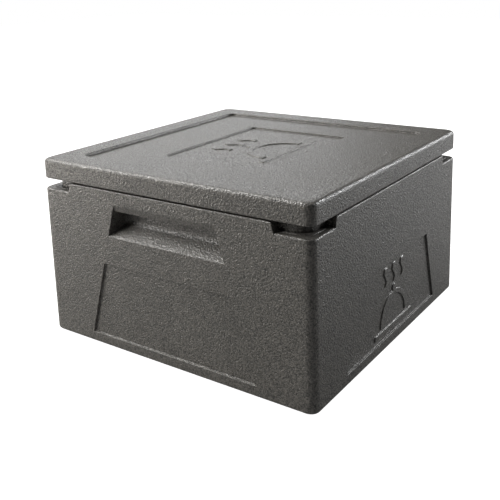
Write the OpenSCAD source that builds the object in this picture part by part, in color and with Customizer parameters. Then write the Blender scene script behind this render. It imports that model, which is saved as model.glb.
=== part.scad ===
// Insulated food carrier: a square box moulded in bead foam, with a lift-off lid.
// Millimetres, +Z up. The origin is the middle of the underside.
// The two sides with hand pockets face -Y and +Y, and the two plain sides face -X and +X.

/* [Box] */
// Outside width, between the two plain sides
outer_w = 410; // [360:1:500]
// Outside depth, between the two sides with hand pockets
outer_d = 410; // [360:1:500]
// Height of the box, from its outer bottom edge to the top of its rim
box_h = 213; // [175:1:280]
// Thickness of the side walls
wall = 30; // [25:1:40]
// Thickness of the floor, without the stacking foot
floor_t = 30; // [15:1:45]
// Radius of the four upright corners, on the box and on the lid
corner_r = 11; // [8:0.5:16]
// Radius of the bottom edge
bottom_edge_r = 4; // [1:0.5:6]
// Radius of the cavity's four upright corners
cavity_r = 22; // [15:1:40]
// Radius where the cavity's floor meets its walls
cavity_floor_r = 12; // [2:1:14]

/* [Rim] */
// Width of the outer lip that stands around the lid's neck
lip_w = 11.5; // [8:0.5:14]
// Height of the lip above the shoulder inside it
lip_h = 14; // [12:0.5:25]
// Radius of the lip's inside corners
lip_inner_r = 19.5; // [10:0.5:30]
// Radius of the outer edges at the joint between box and lid
joint_edge_r = 1.5; // [0.5:0.5:3]

/* [Finger notches] */
// Length of each corner notch along a side, at the notch's floor
notch_len = 48; // [30:1:60]
// Depth of the corner notches below the top of the rim
notch_h = 11.5; // [6:0.5:11.5]

/* [Hand pockets] */
// Distance from the top of the rim down to a pocket's top edge
pocket_drop = 18; // [16:1:20]
// Height of a pocket's mouth
pocket_h = 42.5; // [36:0.5:43]
// Depth of a pocket into the wall
pocket_depth = 22; // [14:0.5:23]
// Height by which a pocket's sloping floor rises to its back wall
pocket_rise = 14; // [6:0.5:16]
// Height of the bevel along a pocket's top edge
bevel_h = 8.5; // [4:0.5:10]
// Depth of the bevel along a pocket's top edge
bevel_depth = 2.5; // [1:0.5:5]
// Inward slope of a pocket's ends, in degrees
pocket_draft = 15; // [2:1:20]

/* [Label fields] */
// Distance from the outer bottom edge up to a field
field_drop = 14; // [10:1:16]
// Width of a field along its lower edge
field_w = 259; // [220:1:270]
// Height of a field
field_h = 100; // [80:1:101]
// Depth of the fields into the wall
field_depth = 2.5; // [1:0.5:4]
// Slope of the ends of the fields, pockets and notches from upright, in degrees
flank_angle = 16; // [8:1:18]

/* [Lid] */
// Thickness of the lid's slab, above the rim
slab_h = 27; // [20:1:40]
// Radius of the lid's top edge
lid_edge_r = 6; // [2:0.5:7]
// Depth of the lid's plug below the slab
plug_h = 18; // [16:0.5:40]
// Gap all round between the lid's neck and the lip
neck_gap = 0.5; // [0.3:0.1:1]
// Gap all round between the lid's plug and the cavity
plug_gap = 1; // [0.5:0.1:2]
// Gap between the underside of the lid's neck and the shoulder
shoulder_gap = 1; // [0.5:0.1:1.5]

/* [Stacking] */
// Width of the flat border around the recess in the lid's top
border_w = 37; // [25:1:45]
// Depth of that recess
recess_depth = 4; // [3.5:0.5:8]
// Radius of the recess's corners
recess_r = 12; // [8:0.5:20]
// Gap all round between a stacked box's foot and the recess
stack_gap = 2; // [1:0.5:4]
// Gap under a stacked box's foot
stack_gap_h = 1; // [0.5:0.5:2]

/* [Centre panel] */
// Size of the sunk panel in the lid, along X
panel_w = 160; // [150:1:200]
// Size of the sunk panel in the lid, along Y
panel_d = 209; // [180:1:230]
// Depth of the panel below the recess
panel_depth = 2.5; // [1:0.5:4]
// Radius of the panel's corners
panel_r = 6; // [2:0.5:15]

/* [Dish sign] */
// Width of the raised covered-dish sign on the plain sides, compared with the height of the field
sign_share = 1.1; // [0.9:0.05:1.15]
// Height of the sign above the surface around it
sign_h = 1.5; // [0.5:0.5:2]
// Size of the lid's sign, compared with the sign on the sides
lid_sign_scale = 1.25; // [0.8:0.05:1.3]

/* [Hidden] */
$fn = 64;
// Extra reach of a cutting shape past the face that it opens
over = 5;
// Depth to which a raised shape is rooted in the surface under it
root = 1;

foot_h = recess_depth - stack_gap_h;
rim_z = foot_h + box_h;
shoulder_z = rim_z - lip_h;
floor_z = foot_h + floor_t;
cavity_w = outer_w - 2 * wall;
cavity_d = outer_d - 2 * wall;
neck_inset = lip_w + neck_gap;
plug_inset = wall + plug_gap;
foot_inset = border_w + stack_gap;
field_z = foot_h + field_drop;
pocket_z = rim_z - pocket_drop - pocket_h;
slab_top = rim_z + slab_h;

// The covered dish: a tray line, a dome standing above it, a knob, and three wisps of steam.
sign_w = sign_share * field_h;
sign_line = sign_w / 16;
dome_r = 0.36 * sign_w;
line_gap = 0.6 * sign_line;
dome_y = sign_line + line_gap;
knob_r = 0.8 * sign_line;
knob_y = dome_y + dome_r + knob_r / 2;
wisp_y = knob_y + knob_r + line_gap;
wisp_tall = 0.22 * sign_w;
wisp_sway = 0.03 * sign_w;
wisp_pitch = 0.22 * sign_w;
wisp_steps = 16;
sign_tall = wisp_y + wisp_tall;

// Half the width between the two sloping lines that bound the fields and the pockets, at height z
function flank_x(z) = field_w / 2 - (z - field_z) * tan(flank_angle);

module rounded_rect(w, d, r) {
    square([w - 2 * r, d], center = true);
    square([w, d - 2 * r], center = true);
    for (x = [-1, 1], y = [-1, 1])
        translate([x * (w / 2 - r), y * (d / 2 - r)])
            circle(r);
}

// What rounding an outer corner of radius r takes off a square corner that points to +X and +Y
module corner_waste(r) {
    difference() {
        square(r + over);
        circle(r);
    }
}

// Upright section of width w and height h, its lower and upper edges rounded where the radius isn't 0
module block_section(w, h, low_r, high_r) {
    difference() {
        translate([-w / 2, 0])
            square([w, h]);
        for (side = [0, 1])
            mirror([side, 0]) {
                if (low_r > 0)
                    translate([w / 2 - low_r, low_r])
                        mirror([0, 1])
                            corner_waste(low_r);
                if (high_r > 0)
                    translate([w / 2 - high_r, h - high_r])
                        corner_waste(high_r);
            }
    }
}

// Block on z = 0 with upright corners of radius r, its lower and upper edges rounded
module soft_block(w, d, h, r, low_r, high_r) {
    rotate([90, 0, 0])
        linear_extrude(d - 2 * r, center = true)
            block_section(w, h, low_r, high_r);
    rotate([90, 0, 90])
        linear_extrude(w - 2 * r, center = true)
            block_section(d, h, low_r, high_r);
    for (x = [-1, 1], y = [-1, 1])
        translate([x * (w / 2 - r), y * (d / 2 - r), 0])
            rotate_extrude()
                intersection() {
                    block_section(2 * r, h, low_r, high_r);
                    square([r, h]);
                }
}

// Runs its children on the -Y and +Y sides, seen from in front with y = 0 on the outside face
module on_pocket_sides() {
    for (turn = [0, 180])
        rotate([0, 0, turn])
            translate([0, -outer_d / 2, 0])
                children();
}

// Runs its children on the +X and -X sides in the same way
module on_plain_sides() {
    for (turn = [90, 270])
        rotate([0, 0, turn])
            translate([0, -outer_w / 2, 0])
                children();
}

// Plate from y = -over to y = depth, bounded by the two sloping lines
module flank_plate(low_z, high_z, depth) {
    translate([0, depth, 0])
        rotate([90, 0, 0])
            linear_extrude(depth + over)
                polygon([[-flank_x(low_z), low_z], [flank_x(low_z), low_z],
                         [flank_x(high_z), high_z], [-flank_x(high_z), high_z]]);
}

module label_field() {
    flank_plate(field_z, field_z + field_h, field_depth);
}

// Hand pocket: a floor that rises inwards, an upright back, a bevel along the top edge, and sloping ends
module hand_pocket() {
    mouth_x = flank_x(pocket_z);
    end_block = 3 * pocket_h;
    difference() {
        translate([-mouth_x, 0, pocket_z])
            rotate([90, 0, 90])
                linear_extrude(2 * mouth_x)
                    polygon([[-over, 0], [0, 0], [pocket_depth, pocket_rise],
                             [pocket_depth, pocket_h - bevel_h], [bevel_depth, pocket_h - bevel_h],
                             [0, pocket_h], [-over, pocket_h]]);
        for (side = [0, 1])
            mirror([side, 0, 0])
                translate([mouth_x, 0, pocket_z])
                    rotate([0, -flank_angle, 0])
                        rotate([0, 0, pocket_draft])
                            translate([0, -end_block / 2, -end_block / 2])
                                cube(end_block);
    }
}

// One end of a finger notch as a section: upright X against Z, from the notch's end to past the corner
module notch_section(half_w) {
    end_x = half_w - notch_len;
    notch_z = rim_z - notch_h;
    high_z = rim_z + over;
    polygon([[end_x, notch_z], [half_w + over, notch_z], [half_w + over, high_z],
             [end_x - (high_z - notch_z) * tan(flank_angle), high_z]]);
}

// The corner of the rim that is left out between +X and +Y, so that fingers reach under the lid
module finger_notch() {
    intersection() {
        rotate([90, 0, 0])
            linear_extrude(outer_d + 2 * over, center = true)
                notch_section(outer_w / 2);
        rotate([90, 0, 90])
            linear_extrude(outer_w + 2 * over, center = true)
                notch_section(outer_d / 2);
    }
}

// Sideways place of a wisp's middle line at a share t of its height
function sway(t) = wisp_sway * sin(360 * t);

// One wisp of steam: an upright line that bows once to each side
module wisp() {
    shares = [for (i = [0:wisp_steps]) i / wisp_steps];
    polygon(concat(
        [for (t = shares) [sway(t) + sign_line / 2, t * wisp_tall]],
        [for (t = shares) [sway(1 - t) - sign_line / 2, (1 - t) * wisp_tall]]));
}

// Flat outline of the covered dish, its tray line centred on the origin and lying on y = 0
module dish_sign() {
    translate([0, sign_line / 2])
        rounded_rect(sign_w, sign_line, sign_line / 4);
    translate([0, dome_y])
        difference() {
            circle(dome_r);
            circle(dome_r - sign_line);
            translate([-2 * dome_r, -4 * dome_r])
                square(4 * dome_r);
        }
    translate([0, knob_y])
        circle(knob_r);
    for (i = [-1, 0, 1])
        translate([i * wisp_pitch, wisp_y])
            wisp();
}

module box_body() {
    color("dimgray") {
        difference() {
            union() {
                translate([0, 0, foot_h])
                    soft_block(outer_w, outer_d, box_h, corner_r, bottom_edge_r, joint_edge_r);
                soft_block(outer_w - 2 * foot_inset, outer_d - 2 * foot_inset, foot_h + root,
                           recess_r - stack_gap, foot_h / 2, 0);
            }
            translate([0, 0, floor_z])
                soft_block(cavity_w, cavity_d, box_h, cavity_r, cavity_floor_r, 0);
            translate([0, 0, shoulder_z])
                linear_extrude(lip_h + over)
                    rounded_rect(outer_w - 2 * lip_w, outer_d - 2 * lip_w, lip_inner_r);
            for (x = [0, 1], y = [0, 1])
                mirror([x, 0, 0])
                    mirror([0, y, 0])
                        finger_notch();
            on_pocket_sides() {
                hand_pocket();
                label_field();
            }
            on_plain_sides()
                label_field();
        }
        on_plain_sides()
            translate([0, field_depth + root, field_z + (field_h - sign_tall) / 2])
                rotate([90, 0, 0])
                    linear_extrude(root + sign_h)
                        dish_sign();
    }
}

module lid() {
    recess_z = slab_top - recess_depth;
    panel_z = recess_z - panel_depth;
    color("gray") {
        difference() {
            translate([0, 0, rim_z])
                soft_block(outer_w, outer_d, slab_h, corner_r, joint_edge_r, lid_edge_r);
            translate([0, 0, recess_z])
                linear_extrude(recess_depth + over)
                    rounded_rect(outer_w - 2 * border_w, outer_d - 2 * border_w, recess_r);
            translate([0, 0, panel_z])
                linear_extrude(panel_depth + over)
                    rounded_rect(panel_w, panel_d, panel_r);
        }
        translate([0, 0, shoulder_z + shoulder_gap])
            linear_extrude(lip_h - shoulder_gap + root)
                rounded_rect(outer_w - 2 * neck_inset, outer_d - 2 * neck_inset, lip_inner_r - neck_gap);
        translate([0, 0, rim_z - plug_h])
            soft_block(outer_w - 2 * plug_inset, outer_d - 2 * plug_inset, plug_h,
                       cavity_r - plug_gap, 2 * plug_gap, 0);
        translate([lid_sign_scale * sign_tall / 2, 0, panel_z - root])
            rotate([0, 0, 90])
                linear_extrude(root + sign_h)
                    scale(lid_sign_scale)
                        dish_sign();
    }
}

box_body();
lid();
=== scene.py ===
"""Looks of an insulated food carrier: a square bead-foam box with a lift-off lid.

The frame gives the outside sizes. Lengths of the mouldings are in millimetres up to mesh_object,
which makes metres. Lights are placed in metres.

Both mouldings are lofts. A row is a closed line round the box. A column runs from the underside
over the outside and the rim into the cavity. The columns on the sides lean with the sloping lines
that bound the label fields and the hand pockets, so every edge of a feature lies along the mesh.
"""

import math

import bpy
import numpy as np
from mathutils import Matrix, Vector


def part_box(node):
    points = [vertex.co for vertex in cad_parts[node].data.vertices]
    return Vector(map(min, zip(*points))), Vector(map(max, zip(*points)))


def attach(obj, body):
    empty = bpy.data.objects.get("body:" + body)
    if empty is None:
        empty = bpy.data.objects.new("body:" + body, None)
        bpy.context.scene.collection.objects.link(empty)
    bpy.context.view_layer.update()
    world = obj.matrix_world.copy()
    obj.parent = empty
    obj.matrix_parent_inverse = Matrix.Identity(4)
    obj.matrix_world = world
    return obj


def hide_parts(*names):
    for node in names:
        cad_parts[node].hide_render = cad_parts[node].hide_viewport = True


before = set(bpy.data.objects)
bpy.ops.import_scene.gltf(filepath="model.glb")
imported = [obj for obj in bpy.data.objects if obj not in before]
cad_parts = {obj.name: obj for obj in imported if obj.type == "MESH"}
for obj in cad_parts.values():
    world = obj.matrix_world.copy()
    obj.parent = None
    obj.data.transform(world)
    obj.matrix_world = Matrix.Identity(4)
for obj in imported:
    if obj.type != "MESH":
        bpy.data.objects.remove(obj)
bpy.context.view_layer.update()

MM = 0.001

# Outside sizes, from the frame
body_low, body_high = (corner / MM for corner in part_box("box_body"))
lid_low, lid_high = (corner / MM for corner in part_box("lid"))
HALF_X, HALF_Y = body_high.x, body_high.y
RIM_Z = body_high.z
LID_TOP = lid_high.z

# Box body
CORNER_R = 11.0
FOOT_H = 3.0
FOOT_INSET = 39.0
FOOT_R = 10.0
BOTTOM_EDGE_R = 4.0
WALL = 30.0
FLOOR_Z = FOOT_H + 30.0
CAVITY_R = 22.0
CAVITY_FLOOR_R = 12.0

# Rim: a lip stands round a shoulder, and is cut down at the corners by the finger notches
LIP_W = 11.5
LIP_INNER_R = 19.5
SHOULDER_Z = RIM_Z - 14.0
NOTCH_LEN = 48.0
NOTCH_H = 11.5
NOTCH_EDGE_EXTRA = 1.4

# Joint: near the outside, the rim and the lid each stand back by the gap, over the land's width
JOINT_EDGE_R = 1.6
JOINT_GAP = 0.9
JOINT_LAND = 7.0

# Label field on each side, its flanks sloping, and its ledge rising inwards
FIELD_Z = FOOT_H + 14.0
FIELD_HALF = 259.0 / 2
FIELD_H = 100.0
FIELD_DEPTH = 2.5
FIELD_EDGE_R = 0.7
FLANK = math.tan(math.radians(16.0))
LEDGE_RISE = 0.9
LEDGE_OUTER_R = 0.4
LEDGE_INNER_R = 0.3

# Hand pocket on two sides, with a bevel along its upper edge
POCKET_TOP = RIM_Z - 18.0
POCKET_Z = POCKET_TOP - 42.5
POCKET_DEPTH = 22.0
POCKET_RISE = 14.0
POCKET_BACK_R = 5.0
POCKET_DRAFT = math.tan(math.radians(15.0))
BEVEL_H = 8.5
BEVEL_DEPTH = 2.5

# Lid
LID_EDGE_R = 6.0
NECK_INSET = 12.0
NECK_R = LIP_INNER_R - 0.5
NECK_Z = SHOULDER_Z + 1.0
PLUG_INSET = 31.0
PLUG_R = CAVITY_R - 1
PLUG_Z = RIM_Z - 18.0
BORDER_W = 37.0
RECESS_Z = LID_TOP - 4.0
RECESS_R = 12.0
RECESS_WALL_RUN = 0.5
PANEL_HALF_X = 80.0
PANEL_HALF_Y = 104.5
PANEL_Z = RECESS_Z - 2.5
PANEL_R = 6.0
PANEL_WALL_RUN = 0.25

# Raised sign
SIGN_W = 110.0
SIGN_H = 1.5
LID_SIGN_SCALE = 1.25

# Bead foam: how many cells of each pattern lie in a metre
BEADS_PER_M = 420.0
GRAINS_PER_M = 540.0
CLOUDS_PER_M = 14.0
PITS_PER_M = 95.0

# Lights aim at the middle of the carrier
LIGHT_AIM = (0, 0, 0.12)


# ---------------------------------------------------------------- lofts


def flank_x(z):
    """Half the width between the two sloping lines at height z."""
    return FIELD_HALF - (z - FIELD_Z) * FLANK


def soft_max(x, k):
    """max(x, 0) with its corner rounded over 2 k."""
    return np.where(x < -k, 0.0, np.where(x > k, x, (x + k) ** 2 / (4 * k)))


def soft_clamp(x, high, k_low, k_high):
    """x held between 0 and high, with rounded corners."""
    return high - soft_max(high - soft_max(x, k_low), k_high)


def graded(*runs):
    """Runs of (start, end, steps) joined into one rising list, each shared end once."""
    out = [runs[0][0]]
    for start, end, steps in runs:
        out += [start + (end - start) * i / steps for i in range(1, steps + 1)]
    return out


class Columns:
    """The columns of a loft. On a face, a column lies at sign * (lean * flank_x(z) + place)."""

    def __init__(self, half_face, corner_steps, reach):
        """half_face lists (lean, place) from a face's middle to reach, where its corner starts."""
        lean, place = (np.array(v, float) for v in zip(*half_face))
        sign = np.concatenate([-np.ones(len(lean)), [0], np.ones(len(lean))])
        lean = np.concatenate([lean[::-1], [0], lean])
        place = np.concatenate([place[::-1], [0], place])
        n_face, n_turn = len(lean), corner_steps - 1
        zeros = np.zeros(n_turn)
        self.lean = np.tile(np.concatenate([lean, zeros]), 4)
        self.place = np.tile(np.concatenate([place, zeros + reach]), 4)
        self.sign = np.tile(np.concatenate([sign, zeros + 1]), 4)
        turn = [math.radians(90.0 * i / corner_steps) for i in range(1, corner_steps)]
        self.turn = np.tile(np.concatenate([np.zeros(n_face), turn]), 4)
        self.corner = np.tile(np.concatenate([np.zeros(n_face), np.ones(n_turn)]) > 0, 4)
        self.face = np.repeat(np.arange(4), n_face + n_turn)
        self.reach = reach

    def __len__(self):
        return len(self.face)

    def along(self, z):
        """Distance of each face column from the middle of its face, at height z, never negative."""
        return self.lean * flank_x(z) + self.place

    def row(self, inset_x, inset_y, z, radius, lean_z, keep):
        """Points of one closed row.

        Columns within keep of the middle stay put, and the rest close up with the corner.
        """
        face_even = self.face % 2 == 0
        half_e = np.where(face_even, HALF_X - inset_x, HALF_Y - inset_y)
        half_n = np.where(face_even, HALF_Y - inset_y, HALF_X - inset_x)
        straight_e, straight_n = half_e - radius, half_n - radius
        along = self.along(lean_z)
        room = 5.0  # left before the corner
        held = np.minimum(keep, straight_e - room) if keep else np.zeros(len(self))
        squeezed = held + (along - held) * (straight_e - held) / (self.reach - held)
        along = self.sign * np.where(along > held, squeezed, along)
        e = np.where(self.corner, straight_e + radius * np.sin(self.turn), along)
        n = np.where(self.corner, straight_n + radius * np.cos(self.turn), half_n)
        cos, sin = (np.array(v)[self.face] for v in ((1, 0, -1, 0), (0, 1, 0, -1)))
        x, y = e * cos + n * sin, e * sin - n * cos
        return np.stack([x, y, z + np.zeros(len(self))], axis=-1)


def key(inset, z, radius, round_by=0.0, steps=0, after=0, inset_y=None):
    """One corner of a profile.

    It is rounded from round_by before to round_by after it, in so many steps, and after rows lie
    between it and the next corner.
    """
    return dict(at=(inset, inset if inset_y is None else inset_y, z, radius),
                round_by=round_by, steps=steps, after=after)


def profile_rows(keys, count):
    """Rows along a rounded profile.

    Each row holds inset x, inset y, z and corner radius for all columns.
    """
    at = [np.stack([np.broadcast_to(np.asarray(v, float), (count,)) for v in k["at"]], -1)
          for k in keys]
    spans = [np.hypot(b[:, 0] - a[:, 0], b[:, 2] - a[:, 2]) for a, b in zip(at, at[1:])]
    most_share = 0.45  # of a span is rounded at each of its ends
    rows = []
    for i, k in enumerate(keys):
        if k["steps"]:
            ends = []
            for other, span in ((at[i - 1], spans[i - 1]), (at[i + 1], spans[i])):
                share = np.minimum(k["round_by"] / np.maximum(span, 1e-6), most_share)
                ends.append(at[i] + (other - at[i]) * share[:, None])
            for s in range(k["steps"] + 1):
                t = s / k["steps"]
                rows.append((1 - t) ** 2 * ends[0] + 2 * t * (1 - t) * at[i] + t * t * ends[1])
        else:
            rows.append(at[i])
        rows += [None] * k["after"]
    for i, row in enumerate(rows):
        if row is None:
            stop = next(j for j in range(i, len(rows)) if rows[j] is not None)
            rows[i] = rows[i - 1] + (rows[stop] - rows[i - 1]) / (stop - i + 1)
    return rows


def loft(columns, keys, lean_low, lean_high, keep):
    """Vertices and faces of a closed loft.

    Its first and last row are filled flat, so the first and last key of a profile lie on a flat of
    the moulding, a little in from its edge. Columns lean only between lean_low and lean_high.
    """
    rings = []
    for inset_x, inset_y, z, radius in (row.T for row in profile_rows(keys, len(columns))):
        lean_z = np.clip(z, lean_low, lean_high)
        rings.append(columns.row(inset_x, inset_y, z, radius, lean_z, keep))
    n = len(columns)
    faces = [tuple(range(n))[::-1]]
    for i in range(len(rings) - 1):
        for j in range(n):
            k = (j + 1) % n
            faces.append((i * n + j, i * n + k, (i + 1) * n + k, (i + 1) * n + j))
    faces.append(tuple(range((len(rings) - 1) * n, len(rings) * n)))
    return np.concatenate(rings), faces


# ---------------------------------------------------------------- raised signs


def circle_arc(cx, cy, r, start, end, steps):
    """Points of an arc, its angles in degrees."""
    return [(cx + r * math.cos(math.radians(start + (end - start) * i / steps)),
             cy + r * math.sin(math.radians(start + (end - start) * i / steps)))
            for i in range(steps + 1)]


def dish_outlines():
    """Outlines of the covered dish, and its height.

    They are the tray line, the dome with its knob, and three wisps of steam.
    """
    line = SIGN_W / 16
    gap = 0.6 * line
    dome_r = 0.36 * SIGN_W
    dome_y = line + gap
    knob_r = 0.8 * line
    knob_y = dome_y + dome_r + knob_r / 2
    wisp_y = knob_y + knob_r + gap
    wisp_tall = 0.22 * SIGN_W
    pitch = 0.22 * SIGN_W
    sway = 0.03 * SIGN_W
    wisp_steps = 16
    r = line / 4
    tray = []
    for turn, (sx, sy) in enumerate(((1, -1), (1, 1), (-1, 1), (-1, -1))):
        tray += circle_arc(sx * (SIGN_W / 2 - r), line / 2 + sy * (line / 2 - r), r,
                           90 * turn - 90, 90 * turn, 4)
    # Where the knob's circle crosses the dome's
    between = knob_y - dome_y
    lift = (between ** 2 + dome_r ** 2 - knob_r ** 2) / (2 * between)
    side = math.sqrt(dome_r ** 2 - lift ** 2)
    on_dome = math.degrees(math.atan2(lift, side))
    on_knob = math.degrees(math.atan2(lift - between, side))
    dome = (circle_arc(0, dome_y, dome_r, 0, on_dome, 20)[:-1]
            + circle_arc(0, knob_y, knob_r, on_knob, 180 - on_knob, 18)
            + circle_arc(0, dome_y, dome_r, 180 - on_dome, 180, 20)[1:]
            + circle_arc(0, dome_y, dome_r - line, 180, 0, 36))
    outlines = [tray, dome]
    for i in (-1, 0, 1):
        up = [(pitch * i + sway * math.sin(2 * math.pi * t / wisp_steps),
               wisp_y + wisp_tall * t / wisp_steps)
              for t in range(wisp_steps + 1)]
        outlines.append([(x + line / 2, y) for x, y in up]
                        + [(x - line / 2, y) for x, y in up[::-1]])
    return outlines, wisp_y + wisp_tall


def inset_outline(outline, by):
    """The outline moved inwards by the given distance, with mitred corners."""
    p = np.array(outline)
    to_next = np.roll(p, -1, axis=0) - p
    to_next /= np.linalg.norm(to_next, axis=1)[:, None]
    inward = np.stack([-to_next[:, 1], to_next[:, 0]], -1)
    before = np.roll(inward, 1, axis=0)
    both = inward + before
    sharpest = 0.3
    both /= np.maximum((both * before).sum(1), sharpest)[:, None]
    return p + both * by


# A raised line's edge, from under the surface to its flat top, as (inset, share of its height)
RELIEF_EDGE = ((-0.9, -0.25), (-0.45, 0.03), (-0.1, 0.3), (0.15, 0.7), (0.5, 0.93), (1.0, 1.0),
               (1.3, 1.0))


def raised_sign(scale, place):
    """Vertices and faces of the sign. place(x, y, height) gives a point on the moulding."""
    vertices, faces = [], []
    for outline in dish_outlines()[0]:
        scaled = np.array(outline) * scale
        n = len(scaled)
        for inset, share in RELIEF_EDGE:
            vertices += [place(x, y, share * SIGN_H) for x, y in inset_outline(scaled, inset)]
        first = len(vertices) - n * len(RELIEF_EDGE)
        for i in range(len(RELIEF_EDGE) - 1):
            for j in range(n):
                a, b = first + i * n + j, first + i * n + (j + 1) % n
                faces.append((a, b, b + n, a + n))
        faces.append(tuple(range(len(vertices) - n, len(vertices))))
    return np.array(vertices), faces


# ---------------------------------------------------------------- mouldings


def mesh_object(name, parts, material, body, node):
    """One piece from parts of (vertices, faces) in millimetres.

    It rides on body and stands for node.
    """
    vertices, faces = [], []
    for part_vertices, part_faces in parts:
        faces += [tuple(i + len(vertices) for i in face) for face in part_faces]
        vertices += [tuple(v) for v in np.asarray(part_vertices) * MM]
    mesh = bpy.data.meshes.new(name)
    mesh.from_pydata(vertices, [], faces)
    mesh.shade_smooth()
    piece = bpy.data.objects.new(name, mesh)
    bpy.context.scene.collection.objects.link(piece)
    mesh.materials.append(material)
    normals = piece.modifiers.new("face_weighted_normals", "WEIGHTED_NORMAL")
    normals.mode = "FACE_AREA"
    normals.weight = 50
    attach(piece, body)
    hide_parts(node)
    return piece


def body_columns():
    """Columns of the box body, close together at the pocket's ends and at the notch's end."""
    reach = HALF_X - CORNER_R
    # Even columns from the middle of the face to just inside the sloping line
    inside, even = 8.0, 16
    half = [(i / even, -inside * i / even) for i in range(1, even + 1)]
    # Close columns beside the sloping line, from so far inside it to so far outside it
    outside = 2.5
    for inwards in (6.97, 6.3, 5.9, 5.6, 5.2, 4.8, 4.2, 3.4, 2.4, 1.6, 1.0, 0.7, 0.45, 0.32, 0.2,
                    0.1, 0.0, -0.1, -0.2, -0.32, -0.6, -1.2, -outside):
        half.append((1.0, -inwards))
    # Columns that turn upright on the way to the notch
    notch_end = HALF_X - NOTCH_LEN
    upright_from, turning = notch_end - 7.0, 6
    for i in range(1, turning + 1):
        share = i / turning
        half.append((1 - share, (1 - share) * outside + share * upright_from))
    # Upright columns, close where the rim bends down into the notch and where it levels out
    bend_from, slope_from = notch_end - 4.2, notch_end - 2.6
    foot_from, floor_from, wide_from = notch_end - 0.5, notch_end + 0.5, notch_end + 8
    for place in graded((upright_from, bend_from, 2), (bend_from, slope_from, 7),
                        (slope_from, foot_from, 5), (foot_from, floor_from, 5),
                        (floor_from, wide_from, 4), (wide_from, reach, 6))[1:]:
        half.append((0.0, place))
    return Columns(half, corner_steps=10, reach=reach)


def body_loft():
    """The box body, with its label fields, hand pockets, notches, rim, shoulder and cavity."""
    columns = body_columns()
    # Distance of each column inwards from the sloping line
    deep = 50.0
    inwards = np.where(columns.place < 0, deep, -deep)
    inwards = np.where(columns.lean == 1.0, -columns.place, inwards)
    inwards = np.where(columns.sign == 0, deep, inwards)
    inwards = np.where(columns.corner, -deep, inwards)
    # Depth of the field and of the pocket at each column
    flank_w, flank_out = 0.8, 0.05
    field = soft_clamp((inwards + flank_out) * FIELD_DEPTH / flank_w, FIELD_DEPTH,
                       k_low=0.6, k_high=0.8)
    pocket_side = columns.face % 2 == 0
    pocket = soft_clamp(inwards / POCKET_DRAFT, POCKET_DEPTH, k_low=1.4, k_high=4.0)
    pocket = np.where(pocket_side, pocket, 0.0)
    bevel = np.minimum(pocket, BEVEL_DEPTH)
    # Where a feature fades out, its rows spread out so that they never meet
    full_from = 4.0
    formed = np.clip(pocket / full_from, 0, 1)
    field_apart = 1.5 * (1 - field / FIELD_DEPTH)
    pocket_apart = 3.0 * (1 - formed ** 2 * (3 - 2 * formed))
    ledge_rise = LEDGE_RISE * field / FIELD_DEPTH
    pocket_rise = POCKET_RISE * pocket / POCKET_DEPTH
    # The rim drops at the notches, along a sloping end, and its edge is rounder there
    along = np.where(columns.corner, columns.reach, columns.along(RIM_Z))
    notch_start = HALF_X - NOTCH_LEN - NOTCH_H * FLANK
    rim = RIM_Z - soft_clamp((along - notch_start) / FLANK, NOTCH_H, k_low=1.5, k_high=1.2)
    rim_round = JOINT_EDGE_R + NOTCH_EDGE_EXTRA * (RIM_Z - rim) / NOTCH_H
    field_top = FIELD_Z + FIELD_H
    ceiling = POCKET_TOP - BEVEL_H
    keys = [
        # Foot
        key(FOOT_INSET + 5, 0, FOOT_R - 4),
        key(FOOT_INSET, 0, FOOT_R, 1.5, 3),
        key(FOOT_INSET, FOOT_H, FOOT_R, 0.6, 2, 1),
        key(0, FOOT_H, CORNER_R, BOTTOM_EDGE_R, 6, 1),
        # Label field
        key(0, FIELD_Z - field_apart, CORNER_R, LEDGE_OUTER_R, 3),
        key(field, FIELD_Z + field_apart + ledge_rise, CORNER_R, LEDGE_INNER_R, 2, 7),
        key(field, field_top - field_apart, CORNER_R, FIELD_EDGE_R, 3),
        key(0, field_top + field_apart, CORNER_R, FIELD_EDGE_R, 3, 2),
        # Hand pocket
        key(0, POCKET_Z, CORNER_R, 1.3, 4, 5),
        key(pocket, POCKET_Z + pocket_rise, CORNER_R, POCKET_BACK_R, 7, 1),
        key(pocket, ceiling - pocket_apart, CORNER_R, 1.5, 3, 2),
        key(bevel, ceiling + pocket_apart, CORNER_R, 0.8, 3, 1),
        key(0, POCKET_TOP, CORNER_R, 1.2, 3, 2),
        # Rim
        key(0, rim - JOINT_GAP, CORNER_R, rim_round, 5, 2),
        key(JOINT_LAND, rim - JOINT_GAP, CORNER_R + 3, 0.3, 2),
        key(JOINT_LAND + 1, rim, CORNER_R + 3.5, 0.3, 2, 1),
        key(LIP_W, rim, LIP_INNER_R, 1.0, 4, 1),
        key(LIP_W, SHOULDER_Z, LIP_INNER_R, 1.0, 3, 2),
        # Cavity
        key(WALL, SHOULDER_Z, CAVITY_R, 1.5, 4, 10),
        key(WALL, FLOOR_Z, CAVITY_R, CAVITY_FLOOR_R, 8),
        key(WALL + CAVITY_FLOOR_R + 5, FLOOR_Z, CAVITY_R - 12),
    ]
    keep = HALF_X - 40
    return loft(columns, keys, FOOT_H, RIM_Z, keep)


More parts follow.
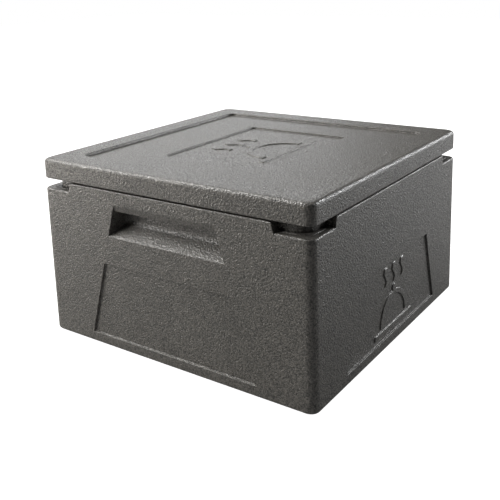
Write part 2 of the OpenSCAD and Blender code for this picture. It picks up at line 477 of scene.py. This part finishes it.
def lid_loft():
    """The lid, with its plug, neck, slab, recessed top and the panel sunk in it."""
    reach, even = HALF_X - CORNER_R, 20
    half = [(0.0, reach * i / even) for i in range(1, even + 1)]
    columns = Columns(half, corner_steps=12, reach=reach)
    panel_x, panel_y = HALF_X - PANEL_HALF_X, HALF_Y - PANEL_HALF_Y
    keys = [
        # Plug and neck
        key(PLUG_INSET + 8, PLUG_Z, 16),
        key(PLUG_INSET, PLUG_Z, PLUG_R, 2.0, 4, 1),
        key(PLUG_INSET, NECK_Z, PLUG_R, 0.8, 2, 2),
        key(NECK_INSET, NECK_Z, NECK_R, 1.5, 4, 2),
        key(NECK_INSET, RIM_Z, NECK_R, 0.8, 2, 1),
        # Slab
        key(JOINT_LAND + 1, RIM_Z, CORNER_R + 3.5, 0.3, 2),
        key(JOINT_LAND, RIM_Z + JOINT_GAP, CORNER_R + 3, 0.3, 2, 1),
        key(0, RIM_Z + JOINT_GAP, CORNER_R, JOINT_EDGE_R, 5, 2),
        key(0, LID_TOP, CORNER_R, LID_EDGE_R, 9, 3),
        # Recess and panel
        key(BORDER_W, LID_TOP, RECESS_R, 1.4, 4),
        key(BORDER_W + RECESS_WALL_RUN, RECESS_Z, RECESS_R - RECESS_WALL_RUN, 1.2, 4, 4),
        key(panel_x, RECESS_Z, PANEL_R, 0.8, 3, inset_y=panel_y),
        key(panel_x + PANEL_WALL_RUN, PANEL_Z, PANEL_R - PANEL_WALL_RUN, 0.8, 3,
            inset_y=panel_y + PANEL_WALL_RUN),
        key(panel_x + 4, PANEL_Z, 2, inset_y=panel_y + 4),
    ]
    return loft(columns, keys, FOOT_H, RIM_Z, 0.0)


# ---------------------------------------------------------------- material


def bead_foam():
    """Charcoal bead foam: fused beads of a few millimetres, their skin finely grained."""
    material = bpy.data.materials.new("bead_foam")
    material.use_nodes = True
    nodes, links = material.node_tree.nodes, material.node_tree.links
    shader = nodes["Principled BSDF"]
    where = nodes.new("ShaderNodeTexCoord").outputs["Object"]

    def texture(kind, scale, output, **inputs):
        node = nodes.new(kind)
        node.inputs["Scale"].default_value = scale
        for name, value in inputs.items():
            node.inputs[name].default_value = value
        links.new(where, node.inputs["Vector"])
        return node.outputs[output]

    def ramp(value, *stops):
        node = nodes.new("ShaderNodeValToRGB")
        links.new(value, node.inputs["Fac"])
        elements = node.color_ramp.elements
        while len(elements) < len(stops):
            elements.new(0.5)
        for element, (position, colour) in zip(elements, stops):
            element.position = position
            element.color = (*colour, 1)
        return node.outputs["Color"]

    def grey(level):
        return (level, level, level)

    def mix(mode, factor, a, b):
        node = nodes.new("ShaderNodeMix")
        node.data_type = "RGBA"
        node.blend_type = mode
        node.inputs["Factor"].default_value = factor
        links.new(a, node.inputs["A"])
        links.new(b, node.inputs["B"])
        return node.outputs["Result"]

    def bump(height, distance, strength, below=None):
        node = nodes.new("ShaderNodeBump")
        node.inputs["Distance"].default_value = distance
        node.inputs["Strength"].default_value = strength
        links.new(height, node.inputs["Height"])
        if below is not None:
            links.new(below, node.inputs["Normal"])
        return node.outputs["Normal"]

    beads = texture("ShaderNodeTexVoronoi", BEADS_PER_M, "Distance")
    tone = texture("ShaderNodeTexVoronoi", BEADS_PER_M, "Color")
    grain = texture("ShaderNodeTexNoise", GRAINS_PER_M, "Fac", Detail=1.0, Roughness=0.5)
    cloud = texture("ShaderNodeTexNoise", CLOUDS_PER_M, "Fac", Detail=3.0)
    pits = texture("ShaderNodeTexVoronoi", PITS_PER_M, "Distance")
    grain_low, grain_high = 0.36, 0.64

    # Colour: each bead its own charcoal, the skin's random grain with painted shade darkening the
    # grain's hollows, and a few dark pits
    bead_tone = ramp(tone, (0.1, (0.045, 0.042, 0.037)), (0.9, (0.070, 0.066, 0.059)))
    # Partly painted shade: the colour is darker where the grain noise is low, which is where the
    # bump sinks the skin's hollows
    grain_tone_and_hollow_shade = ramp(grain, (grain_low, grey(0.16)), (grain_high, grey(0.84)))
    cloud_tone = ramp(cloud, (0.3, grey(0.44)), (0.7, grey(0.56)))
    pit_tone = ramp(pits, (0.10, grey(0.12)), (0.14, grey(1.0)))
    colour = mix("OVERLAY", 0.9, bead_tone, grain_tone_and_hollow_shade)
    colour = mix("OVERLAY", 0.6, colour, cloud_tone)
    colour = mix("MULTIPLY", 1.0, colour, pit_tone)
    links.new(colour, shader.inputs["Base Color"])
    # Gloss: the grain's tops are the smoothest
    roughness = ramp(grain, (grain_low, grey(0.62)), (grain_high, grey(0.26)))
    links.new(roughness, shader.inputs["Roughness"])
    shader.inputs["Specular IOR Level"].default_value = 0.65
    # Relief: the grain lies on the domes of the beads
    domes = bump(beads, distance=0.0006, strength=0.4)
    skin = bump(grain, distance=0.0008, strength=1.0, below=domes)
    links.new(skin, shader.inputs["Normal"])
    return material


# ---------------------------------------------------------------- build


foam = bead_foam()
_, sign_tall = dish_outlines()
sign_low = FIELD_Z + (FIELD_H - sign_tall) / 2


def side_sign(side):
    """The sign in the label field on the +X side (1) or the -X side (-1)."""
    def place(x, y, height):
        return side * (HALF_X - FIELD_DEPTH + height), side * x, sign_low + y

    return raised_sign(1.0, place)


def lid_sign():
    """The sign on the lid's panel, the top of its steam towards -X."""
    def place(x, y, height):
        return LID_SIGN_SCALE * sign_tall / 2 - y, x, PANEL_Z + height

    return raised_sign(LID_SIGN_SCALE, place)


body_parts = [body_loft(), side_sign(1), side_sign(-1)]
mesh_object("box_body_foam", body_parts, foam, "box", "box_body")
mesh_object("lid_foam", [lid_loft(), lid_sign()], foam, "lid", "lid")


# ---------------------------------------------------------------- stage


def stage_floor():
    """Pale floor that the carrier stands on, pure white to the camera."""
    half = 6.0
    mesh = bpy.data.meshes.new("floor")
    corners = [(-half, -half, 0), (half, -half, 0), (half, half, 0), (-half, half, 0)]
    mesh.from_pydata(corners, [], [(0, 1, 2, 3)])
    floor = bpy.data.objects.new("floor", mesh)
    bpy.context.scene.collection.objects.link(floor)
    material = bpy.data.materials.new("pale_floor")
    material.use_nodes = True
    shader = material.node_tree.nodes["Principled BSDF"]
    shader.inputs["Base Color"].default_value = (0.28, 0.28, 0.28, 1)
    shader.inputs["Roughness"].default_value = 0.9
    shader.inputs["Emission Color"].default_value = (1, 1, 1, 1)
    seen = material.node_tree.nodes.new("ShaderNodeLightPath").outputs["Is Camera Ray"]
    material.node_tree.links.new(seen, shader.inputs["Emission Strength"])
    mesh.materials.append(material)


def soft_box(name, at, width, height, power, along=None, tint=(1, 1, 1)):
    """Rectangular area light turned towards the object, its width level or along a direction."""
    light = bpy.data.lights.new(name, "AREA")
    light.shape = "RECTANGLE"
    light.size = width
    light.size_y = height
    light.energy = power
    light.color = tint
    holder = bpy.data.objects.new(name, light)
    bpy.context.scene.collection.objects.link(holder)
    back = (Vector(at) - Vector(LIGHT_AIM)).normalized()
    side = Vector(along) if along else Vector((0, 0, 1)).cross(back)
    side = (side - side.dot(back) * back).normalized()
    turn = Matrix((side, back.cross(side), back)).transposed().to_4x4()
    holder.matrix_world = Matrix.Translation(at) @ turn


def studio_world(strength):
    """Surroundings that are white to the camera but light the object only a little."""
    world = bpy.data.worlds.new("studio")
    world.use_nodes = True
    nodes, links = world.node_tree.nodes, world.node_tree.links
    background = nodes["Background"]
    background.inputs["Color"].default_value = (1, 1, 1, 1)
    seen = nodes.new("ShaderNodeLightPath").outputs["Is Camera Ray"]
    choice = nodes.new("ShaderNodeMix")
    choice.inputs["A"].default_value = strength
    choice.inputs["B"].default_value = 1.0
    links.new(seen, choice.inputs["Factor"])
    links.new(choice.outputs["Result"], background.inputs["Strength"])
    bpy.context.scene.world = world


def overhead_sun(strength, spread):
    """Soft even light from straight above, its spread in degrees."""
    sun = bpy.data.lights.new("overhead", "SUN")
    sun.energy = strength
    sun.angle = math.radians(spread)
    holder = bpy.data.objects.new("overhead", sun)
    bpy.context.scene.collection.objects.link(holder)


def add_camera(at, azimuth, elevation, roll, lens, shift):
    """Camera at a place in millimetres, looking back along its azimuth and elevation in degrees."""
    camera = bpy.data.cameras.new("camera")
    camera.sensor_width = 36.0
    camera.lens = lens
    camera.shift_y = shift
    azimuth, elevation, roll = (math.radians(v) for v in (azimuth, elevation, roll))
    back = Vector((math.sin(azimuth) * math.cos(elevation),
                   -math.cos(azimuth) * math.cos(elevation), math.sin(elevation)))
    level = Vector((0, 0, 1)).cross(back).normalized()
    upright = back.cross(level)
    right = math.cos(roll) * level + math.sin(roll) * upright
    up = -math.sin(roll) * level + math.cos(roll) * upright
    holder = bpy.data.objects.new("camera", camera)
    bpy.context.scene.collection.objects.link(holder)
    turn = Matrix((right, up, back)).transposed().to_4x4()
    holder.matrix_world = Matrix.Translation(Vector(at) * MM) @ turn
    bpy.context.scene.camera = holder


stage_floor()
soft_box("key", at=(-1.55, -0.86, 1.65), width=2.5, height=0.9, power=116,
         along=(0, -0.94, -0.34), tint=(1.0, 0.985, 0.96))
soft_box("left", at=(-1.5, -0.95, 0.06), width=0.8, height=0.2, power=12, tint=(1.0, 0.95, 0.89))
soft_box("right", at=(1.1, 1.6, 0.75), width=0.8, height=0.8, power=42, tint=(0.98, 0.99, 1.0))
soft_box("back", at=(-1.5, 1.6, 1.1), width=1.6, height=1.0, power=14.5, tint=(0.97, 0.985, 1.0))
overhead_sun(strength=0.7, spread=60)
studio_world(strength=0.03)
add_camera(at=(574, -836, 472.5), azimuth=35.1, elevation=12.5, roll=-1.7, lens=54.5, shift=-0.22)
bpy.context.scene.view_settings.view_transform = "Standard"
